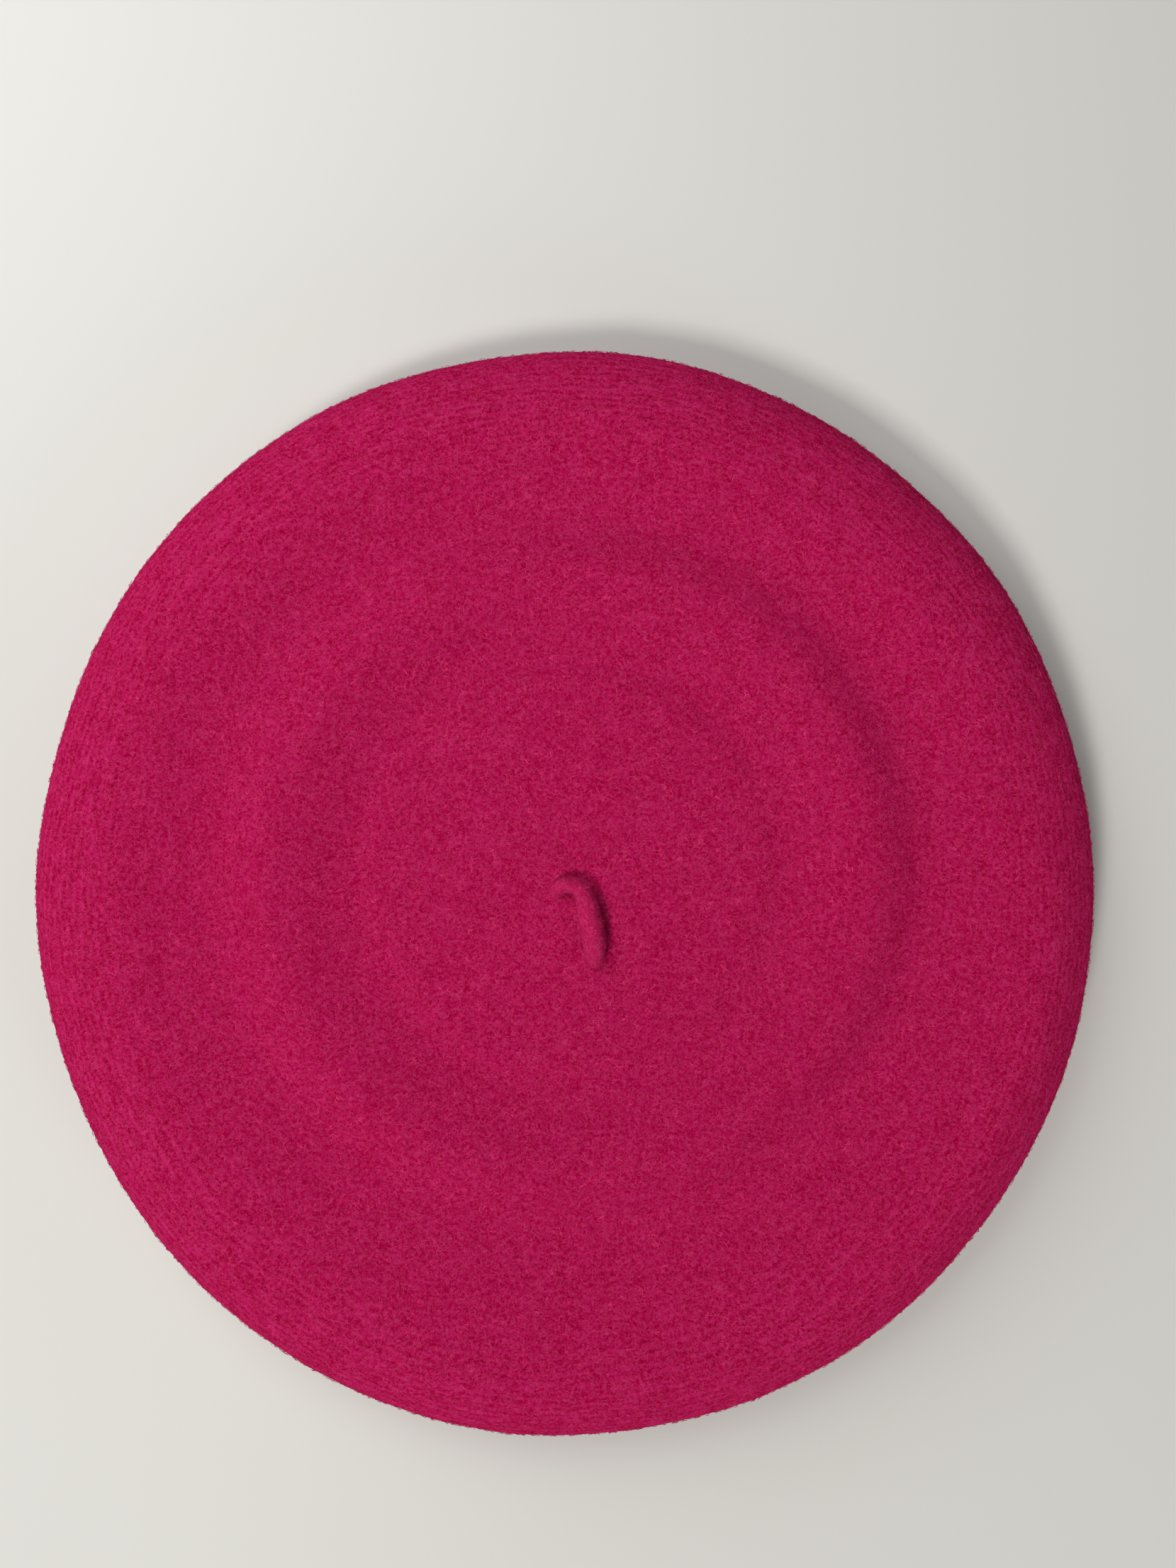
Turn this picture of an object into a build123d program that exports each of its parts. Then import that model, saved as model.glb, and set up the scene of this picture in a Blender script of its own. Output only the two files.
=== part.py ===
"""A felted wool beret with its stem, sweatband, ribbon bow and labels.

It lies on a flat surface, opening down: +Z is up, z = 0 is that surface, and the Z axis
is the middle of the crown. The back of the hat, where the bow is, points to -Y.
"""
import os
from math import atan2, cos, degrees, radians, sin

from build123d import *

os.makedirs("parts", exist_ok=True)

# ---------------------------------------------------------------- driving dimensions, mm
# Felt shell
hat_radius = 140.0       # widest part of the rim
hat_height = 27.6        # top of the shoulder above the surface
felt = 2.2               # thickness of the fulled wool
plateau_drop = 3.2       # middle of the crown, below the shoulder
ridge_drop = 0.3         # ring that the sweatband holds up, below the shoulder
moat_drop = 3.4          # sag between that ring and the shoulder
ridge_inset = 6.5        # crest of the ring, inside the sweatband's top edge
ridge_slope = 20.0       # width of the ring's inner slope
lip_height = 6.6         # turned-up edge of the head opening
lip_crease = 0.4         # inside radius of that turn

# Sweatband and the tape behind it
opening_radius = 87.5    # head size 55 cm
band = 1.0               # leather thickness
band_base = 0.6          # lower edge above the surface
wall_top = 6.4           # upright part ends here and the band leans in
band_lean = 3.5          # how far the free edge leans in
band_room = 2.0          # free edge below the crown's inner face
join_gap = 0.6           # between the band's two ends, at the back
tape = 0.6
layer_gap = 0.05         # between sewn layers
tape_shy = 0.3           # tape is this much lower than the upright part

# Threads
thread = 0.4
thread_proud = 0.2       # how far a stitch stands out of the face
row_proud = 0.05         # the band's row is pulled into the leather
stitch_span = 3.2
row_height = 3.6
row_count = 110
join_stitch_count = 3
join_stitch_pitch = 2.6

# Stem
root_radius = 2.2        # neck in the crown's hole, and the ball on top of it
hole_gap = 0.1
hinge_height = 2.5       # middle of the ball above the crown
tuft_radius = 7.0
tuft = 1.6
tack_count = 6
tack_radius = 4.8
stem_gap = 0.5           # stem's thick end above the crown, and its thin end off the ball
stem_root_xy = (-1.8, 1.8)
# Places along the stem's middle, and its radius there
stem_spine = [
    ((1.05, 2.8), 1.7),
    ((3.2, 2.5), 2.05),
    ((4.9, 0.4), 2.45),
    ((5.9, -3.2), 2.9),
    ((6.8, -7.3), 3.05),
    ((7.4, -11.5), 3.0),
    ((7.5, -15.3), 2.4),
    ((7.35, -17.4), 1.1),
]

# Bow
ribbon = 6.0             # ribbon width
ribbon_thick = 0.4
bow_below_edge = 6.0     # middle of the bow below the band's free edge
bow_reach = 15.0         # each loop, from the middle
bow_gap = 0.3            # knot off the band
loop_back = 1.2          # back layer of the loops off the band
loop_depth = 2.2         # loops, back to front
loop_gap = 0.15          # loops to the inside of the knot
knot_width = 5.0
knot_over = 0.5          # knot taller than the ribbon at each edge
tail_room = 1.0          # tails end this far above the band's upright part
tail_width = 4.5
tail_turn = 50.0         # degrees that a tail turns out from straight down
tail_off = 0.5           # tail off the band

# Labels
label_width = 52.0
label_height = 24.0
label_thick = 0.5
label_from_tuft = 8.0
label_gap = 0.05
label_stitch_count = 6
tab_width = 12.0
tab_length = 13.0
tab_layer = 0.35
tab_hollow = 0.3
tab_off = 0.6            # tab off the band
tab_below_edge = 0.5
tab_turn = -40.0         # degrees round from the back
care_width = 22.0
care_thick = 0.4
care_gap = 0.4           # label off the felt and off the stitches
care_turn = 150.0        # degrees round from the back

# ---------------------------------------------------------------- places worked out from them
back = -90.0
band_outer = opening_radius + band
tape_inner = band_outer + layer_gap
lip_inner = tape_inner + tape + layer_gap
lip_outer = lip_inner + felt
lip_turn = felt + lip_crease
turn_centre = lip_inner + lip_turn
shoulder_radius = (turn_centre + hat_radius) / 2
band_top_radius = opening_radius - band_lean
ridge_radius = band_top_radius - ridge_inset
plateau_radius = ridge_radius - ridge_slope
moat_radius = (ridge_radius + shoulder_radius) / 2
plateau_z = hat_height - plateau_drop
crown_under = plateau_z - felt
root_x, root_y = stem_root_xy
hinge_z = plateau_z + hinge_height

# High and low places of the crown's outer face, from the flat middle to the shoulder
crown_steps = [
    (plateau_radius, plateau_z),
    (ridge_radius, hat_height - ridge_drop),
    (moat_radius, hat_height - moat_drop),
    (shoulder_radius, hat_height),
]


def crown_height(radius):
    """Height of the crown's outer face between its flat middle and its shoulder."""
    for inner, outer in zip(crown_steps, crown_steps[1:]):
        if radius <= outer[0]:
            break
    along = (radius - inner[0]) / (outer[0] - inner[0])
    return inner[1] + (outer[1] - inner[1]) * along * along * (3 - 2 * along)


band_top = crown_height(band_top_radius + band) - felt - band_room
lean = degrees(atan2(band_lean, band_top - wall_top))
bow_height = band_top - bow_below_edge


def band_radius(z):
    """Radius of the leaning inner face of the sweatband at height z."""
    return band_top_radius + band_lean * (band_top - z) / (band_top - wall_top)


def out_from(azimuth, radius, z):
    """Point at a radius and height, round the hat's axis."""
    return (radius * cos(radians(azimuth)), radius * sin(radians(azimuth)), z)


def tangent(azimuth):
    """Direction along the opening's edge."""
    return Vector(-sin(radians(azimuth)), cos(radians(azimuth)), 0)


def up_the_band(azimuth):
    """Direction up the leaning part of the sweatband."""
    inwards = sin(radians(lean))
    return Vector(-cos(radians(azimuth)) * inwards, -sin(radians(azimuth)) * inwards, cos(radians(lean)))


def stitch_plane(origin, along, out):
    """Plane whose X runs along a stitch and whose Y points out of the sewn face."""
    return Plane(origin=origin, x_dir=along, z_dir=Vector(along).cross(Vector(out)))


def thread_loops(planes, span, layers, proud=thread_proud):
    """Closed loops of thread, each round the layers behind a face, through two needle holes."""
    loops = []
    for place in planes:
        with BuildSketch(place) as loop:
            with Locations((0, -layers / 2)):
                Rectangle(span, layers + 2 * proud)
                Rectangle(span - 2 * thread, layers + 2 * (proud - thread), mode=Mode.SUBTRACT)
        loops.extend(loop.sketch.faces())
    extrude(loops, amount=thread / 2, both=True)


def felt_face(inset):
    """One face of the felt, from the middle of the crown out to the rim and in to the lip."""
    # The stem's hole is a little off the hat's axis, so the profile runs to the axis and is drilled later.
    Line((0, plateau_z - inset), (plateau_radius, plateau_z - inset))
    for inner, outer in zip(crown_steps, crown_steps[1:]):
        # Level handles a third of the way along make the curve that crown_height follows.
        third = (outer[0] - inner[0]) / 3
        Bezier(
            (inner[0], inner[1] - inset),
            (inner[0] + third, inner[1] - inset),
            (outer[0] - third, outer[1] - inset),
            (outer[0], outer[1] - inset),
        )
    EllipticalCenterArc(
        (shoulder_radius, hat_height / 2),
        hat_radius - shoulder_radius - inset,
        hat_height / 2 - inset,
        start_angle=-90,
        arc_size=180,
    )
    Line((shoulder_radius, inset), (turn_centre, inset))
    CenterArc((turn_centre, lip_turn), lip_turn - inset, 180, 90)
    Line((turn_centre - lip_turn + inset, lip_turn), (turn_centre - lip_turn + inset, lip_height))


# ---------------------------------------------------------------- felt shell
with BuildPart() as felt_body:
    with BuildSketch(Plane.XZ):
        with BuildLine():
            felt_face(0)
            felt_face(felt)
            Line((0, plateau_z), (0, crown_under))
            Line((lip_inner, lip_height), (lip_outer, lip_height))
        make_face()
    revolve(axis=Axis.Z)
    with Locations((root_x, root_y, plateau_z)):
        Hole(root_radius + hole_gap, depth=2 * felt)
felt_body.part.label = "felt_body"
export_step(felt_body.part, "parts/felt_body.step")

# ---------------------------------------------------------------- stem, its root and the tacks
with BuildPart() as stem_root:
    with BuildSketch(Plane(origin=(root_x, root_y, 0), x_dir=(1, 0, 0), z_dir=(0, -1, 0))):
        with BuildLine():
            ball = CenterArc((0, hinge_z), root_radius, 0, 90)
            Line(ball @ 0, (root_radius, crown_under))
            Line((root_radius, crown_under), (tuft_radius - tuft / 2, crown_under))
            tuft_edge = CenterArc((tuft_radius - tuft / 2, crown_under - tuft / 2), tuft / 2, 90, -180)
            Line(tuft_edge @ 1, (0, crown_under - tuft))
            Line((0, crown_under - tuft), ball @ 1)
        make_face()
    revolve(axis=Axis((root_x, root_y, 0), (0, 0, 1)))
stem_root.part.label = "stem_root"
export_step(stem_root.part, "parts/stem_root.step")

with BuildPart() as stem:
    for number, (spot, radius) in enumerate(stem_spine):
        before = stem_spine[max(number - 1, 0)][0]
        after = stem_spine[min(number + 1, len(stem_spine) - 1)][0]
        heading = (after[0] - before[0], after[1] - before[1], 0)
        middle_z = max(hinge_z, plateau_z + stem_gap + radius)
        with BuildSketch(Plane(origin=(spot[0], spot[1], middle_z), z_dir=heading)):
            Circle(radius)
    loft()
stem.part.label = "stem"
export_step(stem.part, "parts/stem.step")

with BuildPart() as stem_tack_stitches:
    tacks = []
    for number in range(tack_count):
        turn = 360 * number / tack_count
        x, y, z = out_from(turn, tack_radius, crown_under - tuft)
        tacks.append(stitch_plane((root_x + x, root_y + y, z), tangent(turn), (0, 0, -1)))
    thread_loops(tacks, stitch_span, tuft + felt / 2)
stem_tack_stitches.part.label = "stem_tack_stitches"
export_step(stem_tack_stitches.part, "parts/stem_tack_stitches.step")

# ---------------------------------------------------------------- sweatband, tape and threads
with BuildPart() as sweatband:
    with BuildSketch(Plane.XZ):
        with BuildLine():
            Polyline(
                (opening_radius, band_base),
                (opening_radius, wall_top),
                (band_top_radius, band_top),
                (band_top_radius + band, band_top),
                (band_outer, wall_top),
                (band_outer, band_base),
                close=True,
            )
        make_face()
    revolve(axis=Axis.Z)
    with Locations(out_from(back, opening_radius, band_top / 2)):
        Box(join_gap, 4 * band_lean, 2 * band_top, mode=Mode.SUBTRACT)
sweatband.part.label = "sweatband"
export_step(sweatband.part, "parts/sweatband.step")

with BuildPart() as stay_tape:
    with BuildSketch(Plane.XY.offset(band_base + tape_shy)):
        Circle(tape_inner + tape)
        Circle(tape_inner, mode=Mode.SUBTRACT)
    extrude(amount=wall_top - band_base - 2 * tape_shy)
stay_tape.part.label = "stay_tape"
export_step(stay_tape.part, "parts/stay_tape.step")

with BuildPart() as sweatband_stitches:
    row = []
    for number in range(row_count):
        turn = back + 360 * (number + 0.5) / row_count
        inwards = -Vector(out_from(turn, 1, 0))
        row.append(stitch_plane(out_from(turn, opening_radius, row_height), tangent(turn), inwards))
    thread_loops(row, stitch_span, lip_outer - opening_radius, row_proud)
sweatband_stitches.part.label = "sweatband_stitches"
export_step(sweatband_stitches.part, "parts/sweatband_stitches.step")


def across_join(z):
    """Plane of a stitch over the band's join: X across it, Y out of its inner face."""
    inwards = up_the_band(back).cross(tangent(back))
    return stitch_plane(out_from(back, band_radius(z), z), tangent(back), inwards)


with BuildPart() as sweatband_join_stitches:
    highest = band_top - join_stitch_pitch
    heights = [highest - number * join_stitch_pitch for number in range(join_stitch_count)]
    thread_loops([across_join(z) for z in heights], stitch_span, band)
sweatband_join_stitches.part.label = "sweatband_join_stitches"
export_step(sweatband_join_stitches.part, "parts/sweatband_join_stitches.step")

# ---------------------------------------------------------------- bow
bow_radius = band_radius(bow_height)
bow_plane = across_join(bow_height)
loop_front = loop_back + loop_depth
half_angle = degrees(bow_reach / bow_radius)
tail_top = bow_height - ribbon / 2
tail_drop = tail_top - wall_top - tail_room - tail_width / 2 * sin(radians(tail_turn))
tail_length = tail_drop / cos(radians(tail_turn))

with BuildPart() as back_bow:
    with BuildSketch(bow_plane):
        with BuildLine():
            backs = CenterArc((0, bow_radius), bow_radius - loop_back, -90 - half_angle, 2 * half_angle)
            fronts = CenterArc((0, bow_radius), bow_radius - loop_front, -90 - half_angle, 2 * half_angle)
            for end, side in ((0, -1), (1, 1)):
                bulge = (backs @ end + fronts @ end) / 2 + Vector(side * loop_depth / 2, 0)
                ThreePointArc(backs @ end, bulge, fronts @ end)
        make_face()
        offset(amount=-ribbon_thick, mode=Mode.SUBTRACT)
    extrude(amount=ribbon / 2, both=True)
    for side in (-1, 1):
        sideways = side * (knot_width + tail_width) / 2
        turn = back + degrees(sideways / bow_radius)
        inwards = up_the_band(turn).cross(tangent(turn))
        tail_start = out_from(turn, band_radius(tail_top), tail_top)
        tail_plane = Plane(origin=tail_start, x_dir=tangent(turn), z_dir=inwards)
        with BuildSketch(tail_plane.offset(tail_off)):
            with Locations(Rotation(0, 0, side * tail_turn)):
                with Locations((0, -tail_length / 2)):
                    Rectangle(tail_width, tail_length)
        extrude(amount=ribbon_thick)
back_bow.part.label = "back_bow"
export_step(back_bow.part, "parts/back_bow.step")

with BuildPart() as back_bow_knot:
    # The wrap goes over the loops' top and bottom edges, so its outline is drawn along X.
    with BuildSketch(stitch_plane(bow_plane.origin, up_the_band(back), bow_plane.y_dir)):
        knot_front = loop_front + loop_gap + ribbon_thick
        with Locations((0, (bow_gap + knot_front) / 2)):
            Rectangle(ribbon + 2 * knot_over, knot_front - bow_gap)
            Rectangle(
                ribbon + 2 * (knot_over - ribbon_thick),
                knot_front - bow_gap - 2 * ribbon_thick,
                mode=Mode.SUBTRACT,
            )
    extrude(amount=knot_width / 2, both=True)
back_bow_knot.part.label = "back_bow_knot"
export_step(back_bow_knot.part, "parts/back_bow_knot.step")

# ---------------------------------------------------------------- labels
label_y = root_y - tuft_radius - label_from_tuft - label_height / 2
label_z = crown_under - label_gap - label_thick

with BuildPart() as maker_label:
    with BuildSketch(Plane.XY.offset(label_z)):
        with Locations((0, label_y)):
            RectangleRounded(label_width, label_height, label_thick)
    extrude(amount=label_thick)
maker_label.part.label = "maker_label"
export_step(maker_label.part, "parts/maker_label.step")

with BuildPart() as maker_label_stitches:
    ends = []
    pitch = label_height / label_stitch_count
    for side in (-1, 1):
        for number in range(label_stitch_count):
            x = side * (label_width / 2 - 2 * thread)
            y = label_y + pitch * (number + 0.5) - label_height / 2
            ends.append(stitch_plane((x, y, label_z), (0, 1, 0), (0, 0, -1)))
    thread_loops(ends, pitch - 2 * thread, label_thick + label_gap + felt / 2)
maker_label_stitches.part.label = "maker_label_stitches"
export_step(maker_label_stitches.part, "parts/maker_label_stitches.step")

tab_thick = 2 * tab_layer + tab_hollow
tab_azimuth = back + tab_turn
tab_top = band_top - tab_below_edge
tab_radius = band_top_radius - tab_off - tab_thick / 2

with BuildPart() as size_tab:
    tab_middle = out_from(tab_azimuth, tab_radius, tab_top - tab_length / 2)
    outwards = out_from(tab_azimuth, 1, 0)
    with BuildSketch(Plane(origin=tab_middle, x_dir=outwards, z_dir=-tangent(tab_azimuth))):
        RectangleRounded(tab_thick, tab_length, tab_thick * 0.45)
        RectangleRounded(tab_hollow, tab_length - 2 * tab_layer, tab_hollow * 0.45, mode=Mode.SUBTRACT)
    extrude(amount=tab_width / 2, both=True)
size_tab.part.label = "size_tab"
export_step(size_tab.part, "parts/size_tab.step")

care_azimuth = back + care_turn
care_inner = lip_outer + row_proud + care_gap
care_length = shoulder_radius - care_inner

with BuildPart() as care_label:
    care_plane = Plane(
        origin=out_from(care_azimuth, care_inner + care_length / 2, felt + care_gap),
        x_dir=out_from(care_azimuth, 1, 0),
    )
    with BuildSketch(care_plane):
        RectangleRounded(care_length, care_width, care_thick)
    extrude(amount=care_thick)
care_label.part.label = "care_label"
export_step(care_label.part, "parts/care_label.step")

# ---------------------------------------------------------------- figures that the record states
hinge_point = (root_x, root_y, hinge_z)
tab_hinge = out_from(tab_azimuth, tab_radius, tab_top - tab_layer)
care_hinge = out_from(care_azimuth, care_inner, felt + care_gap + care_thick / 2)
print("stem hinge", hinge_point)
print("size tab hinge", [round(value, 3) for value in tab_hinge], "along", tangent(tab_azimuth))
print("care label hinge", [round(value, 3) for value in care_hinge], "along", tangent(care_azimuth))
print("head opening", opening_radius, "from", band_base, "to", wall_top)
print("flat face", turn_centre, "to", shoulder_radius, "crown underside", crown_under, "band top", band_top)
band_width = wall_top - band_base + (band_top - wall_top) / cos(radians(lean))
print("tails", tail_length, "lean", lean, "band width", band_width)
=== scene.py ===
# %% [markdown]
# # A felted wool beret, modelled around its CAD frame
#
# The hat lies on a table, opening down, and the camera stands over it. The CAD part says how big
# everything is, where each piece sits and what moves. This script makes what the eye sees: the
# fulled wool with its nap, the leather sweatband, ribbon, labels and threads. Each piece is built
# in metres in the CAD part's own frame, so nothing is fitted afterwards.

import math

import bmesh
import bpy
import numpy as np
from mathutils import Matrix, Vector, noise


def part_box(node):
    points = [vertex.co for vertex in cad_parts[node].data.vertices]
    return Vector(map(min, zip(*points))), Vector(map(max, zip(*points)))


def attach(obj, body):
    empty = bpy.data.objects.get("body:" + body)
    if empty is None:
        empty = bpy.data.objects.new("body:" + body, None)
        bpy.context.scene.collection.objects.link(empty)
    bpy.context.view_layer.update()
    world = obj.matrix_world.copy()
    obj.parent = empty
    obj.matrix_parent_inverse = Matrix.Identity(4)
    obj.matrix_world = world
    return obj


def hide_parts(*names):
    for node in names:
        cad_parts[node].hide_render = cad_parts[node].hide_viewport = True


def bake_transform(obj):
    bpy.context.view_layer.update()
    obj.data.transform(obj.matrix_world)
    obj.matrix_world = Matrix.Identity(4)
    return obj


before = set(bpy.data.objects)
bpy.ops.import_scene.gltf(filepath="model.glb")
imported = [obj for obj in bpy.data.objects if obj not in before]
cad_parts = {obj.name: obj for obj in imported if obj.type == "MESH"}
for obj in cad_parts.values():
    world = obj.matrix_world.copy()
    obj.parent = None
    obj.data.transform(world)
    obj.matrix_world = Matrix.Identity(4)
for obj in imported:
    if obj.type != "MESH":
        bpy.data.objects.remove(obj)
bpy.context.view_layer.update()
MM = 0.001


# %% [markdown]
# ## Camera and studio
#
# A hat this flat is read from its outline and its surface, so the camera looks straight down from
# about 30 cm above it, as a person standing at a table would. It is a little off the hat's middle.
# A camera's sensor width belongs to the picture's long side, so the lens is stated for that side.

# %% Camera straight above
camera_data = bpy.data.cameras.new("overhead_camera")
camera_data.sensor_width = 36
camera_data.lens = 27.04
camera = bpy.data.objects.new("overhead_camera", camera_data)
camera.location = (0.0058, 0.0284, 0.3238)
bpy.context.collection.objects.link(camera)
bpy.context.scene.camera = camera
print("camera", [round(v, 4) for v in camera.location], "lens", camera_data.lens)


# %% [markdown]
# ## A small set of node helpers
#
# Every finish below is a tree of shader nodes. Short helpers keep each tree readable: one adds a
# node and sets its values, one starts a material with its Principled shader, and the others are the
# Math, Mix, Noise, Bump and Color Ramp nodes that most finishes use. A value that is the same all
# over goes straight on the shader's own socket.

# %% Node helpers
def add_node(tree, kind, inputs=None, **settings):
    """A node of this kind, with its settings and input values. An input that is a socket is linked."""
    node = tree.nodes.new(kind)
    for name, value in settings.items():
        setattr(node, name, value)
    for name, value in (inputs or {}).items():
        if isinstance(value, bpy.types.NodeSocket):
            tree.links.new(value, node.inputs[name])
        else:
            node.inputs[name].default_value = value
    return node


def new_material(name, **shader_values):
    """A material with an empty Principled shader, and the tree and shader to build on."""
    material = bpy.data.materials.new(name)
    material.use_nodes = True
    tree = material.node_tree
    shader = tree.nodes["Principled BSDF"]
    for socket, value in shader_values.items():
        shader.inputs[socket.replace("_", " ")].default_value = value
    return material, tree, shader


def math_node(tree, operation, first, second=None, third=None, clamp=False):
    """The result socket of one Math node."""
    inputs = {0: first}
    if second is not None:
        inputs[1] = second
    if third is not None:
        inputs[2] = third
    return add_node(tree, "ShaderNodeMath", inputs, operation=operation, use_clamp=clamp).outputs[0]


def mix_colour(tree, factor, first, second):
    """The colour socket of one Mix node. A and B are its colour sockets, numbered 6 and 7."""
    inputs = {0: factor, 6: first, 7: second}
    return add_node(tree, "ShaderNodeMix", inputs, data_type="RGBA").outputs[2]


def noise_node(tree, vector, scale, detail=2.0, roughness=0.5):
    """The value socket of a Noise texture."""
    values = {"Vector": vector, "Scale": scale, "Detail": detail, "Roughness": roughness}
    return add_node(tree, "ShaderNodeTexNoise", values).outputs["Fac"]


def bump_node(tree, height, distance, strength):
    """The normal socket of a Bump node."""
    values = {"Height": height, "Distance": distance, "Strength": strength}
    return add_node(tree, "ShaderNodeBump", values).outputs["Normal"]


def ramp_node(tree, factor, *stops):
    """The colour socket of a Color Ramp with these (place, colour) stops."""
    ramp = add_node(tree, "ShaderNodeValToRGB", {"Fac": factor})
    elements = ramp.color_ramp.elements
    while len(elements) < len(stops):
        elements.new(0.5)
    for element, (place, colour) in zip(elements, stops):
        element.position = place
        element.color = (*colour, 1) if len(colour) == 3 else colour
    return ramp.outputs["Color"]


def millimetres(tree):
    """Places on the piece, in millimetres, so that a noise scale of 1 is a pattern about 1 mm wide."""
    place = add_node(tree, "ShaderNodeTexCoord").outputs["Object"]
    scaled = add_node(tree, "ShaderNodeVectorMath", {0: place}, operation="SCALE")
    scaled.inputs["Scale"].default_value = 1 / MM
    return scaled.outputs[0]


def attribute_value(tree, name):
    """A number stored on the points."""
    return add_node(tree, "ShaderNodeAttribute", attribute_name=name).outputs["Fac"]


# %% [markdown]
# ## The felt's shape
#
# A beret of this kind is knitted, sewn into a bag and fulled in hot water until it is one skin. Laid
# flat, the skin turns over at the rim and back in to the head opening. The crown isn't flat: the
# sweatband under it holds up a ring, and the felt sags a little on both sides of that ring.
#
# A cloth simulation could settle a disc of felt over the band, but a fulled crown is stiff and keeps
# its blocked shape, so the shape is drawn as a profile that goes round the hat. Small rules on top
# make it a real one: the ring sits off the middle, the outline is slightly oval, and nothing is
# perfectly level.

# %% Sizes, in millimetres, from the frame and from the sewn layers
def box_of(node):
    """Low and high corner of a CAD node, in millimetres."""
    return tuple(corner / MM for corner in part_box(node))


hat_radius, _, hat_height = box_of("felt_body")[1]
band_low, band_high = box_of("sweatband")
felt = 2.2
tape_space = 0.7  # the stay tape and its slack, between the band and the lip
lip_height = 6.6
lip_crease = 0.4
lip_turn = felt + lip_crease
lip_inner = band_high.x + tape_space
turn_centre = lip_inner + lip_turn
shoulder_radius = (turn_centre + hat_radius) / 2
# Radius and height where each slope of the crown ends: plateau, inner sag, ring, outer sag, shoulder.
crown_steps = [(48.0, 25.3), (54.0, 24.5), (76.5, 28.0), (91.0, 24.6), (shoulder_radius, hat_height)]
ring_shift = (1.0, 6.0)
oval = 0.0125
stem_root = (-1.8, 1.8)
print("rim, shoulder and height", [round(size, 1) for size in (hat_radius, shoulder_radius, hat_height)])


# %% Shape rules
def ease(value, start, end):
    """0 before start, 1 after end, and a smooth step between them. Works on numbers and arrays."""
    share = np.clip((value - start) / (end - start), 0, 1)
    return share * share * (3 - 2 * share)


def mound(distance, width):
    """1 at no distance, falling smoothly to almost 0 at twice the width."""
    return np.exp(-((distance / width) ** 2))


def crown_height(radius):
    """Height of the crown's outer face at a radius, inside the shoulder."""
    heights = np.full_like(radius, crown_steps[0][1])
    for inner, outer in zip(crown_steps, crown_steps[1:]):
        heights += (outer[1] - inner[1]) * ease(radius, inner[0], outer[0])
    return heights


def arc(centre, across, up, start, end, step):
    """Points along part of an ellipse, about a step apart. Angles are in degrees."""
    count = max(3, round(math.radians(abs(end - start)) * (across + up) / 2 / step))
    angles = np.radians(np.linspace(start, end, count + 1))
    return np.column_stack([centre[0] + across * np.cos(angles), centre[1] + up * np.sin(angles)])


def line(start, end, step):
    """Points along a straight line, about a step apart."""
    count = max(1, round(math.dist(start, end) / step))
    return np.linspace(start, end, count + 1)


def felt_side(inset, step):
    """Radius and height along one side of the felt, from the crown's middle to the top of the lip."""
    rim_width = hat_radius - shoulder_radius
    crown = line((0, 0), (shoulder_radius, 0), step)
    crown[:, 1] = crown_height(crown[:, 0]) - inset
    middle = hat_height / 2
    rim = arc((shoulder_radius, middle), rim_width - inset, middle - inset, 90, -90, step)
    under = line((shoulder_radius, inset), (turn_centre, inset), step)
    turn_radius = lip_turn - inset
    turn = arc((turn_centre, lip_turn), turn_radius, turn_radius, 270, 180, min(step, fine_step))
    lip_face = turn_centre - turn_radius
    lip = line((lip_face, lip_turn), (lip_face, lip_height), step)
    return np.vstack([crown, rim[1:], under[1:], turn[1:], lip[1:]])


fine_step = 0.7
outer_side = felt_side(0, 2 * fine_step)
inner_side = felt_side(felt, 2.6)[::-1]
lip_top = arc((lip_inner + felt / 2, lip_height), felt / 2, felt / 2, 180, 0, fine_step)[1:-1]
profile = np.vstack([outer_side, lip_top, inner_side])
on_inner = np.arange(len(profile)) >= len(outer_side) + len(lip_top) // 2
print("profile", len(profile), "points,", len(outer_side), "on the outer face")


# %% [markdown]
# ## From a profile to a closed skin
#
# A plain revolve would crowd its faces at the pole. Here a ring near the middle has few points and
# each ring further out may have twice as many, so all faces stay about the same size. Where the
# count doubles, each face is split in three. The first and last point of the profile lie on the
# axis and close the skin with a fan.

# %% Rings of points joined into a mesh
def ring_columns(radius, most, double_at=48.0):
    """Points round a ring: the most outside double_at, halved for each halving of the radius."""
    count = most
    edge = double_at
    while radius < edge and count > most // 16:
        count //= 2
        edge /= 2
    return count


def join_rings(low_start, low_count, high_start, high_count):
    """Faces between two rings. The high ring has as many points as the low one, or twice as many."""
    faces = []
    for place in range(low_count):
        here, after = low_start + place, low_start + (place + 1) % low_count
        if high_count == low_count:
            faces.append((here, after, high_start + (place + 1) % high_count, high_start + place))
            continue
        first = high_start + 2 * place
        second = first + 1
        third = high_start + (2 * place + 2) % high_count
        faces += [(here, second, first), (here, after, second), (after, third, second)]
    return faces


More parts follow.
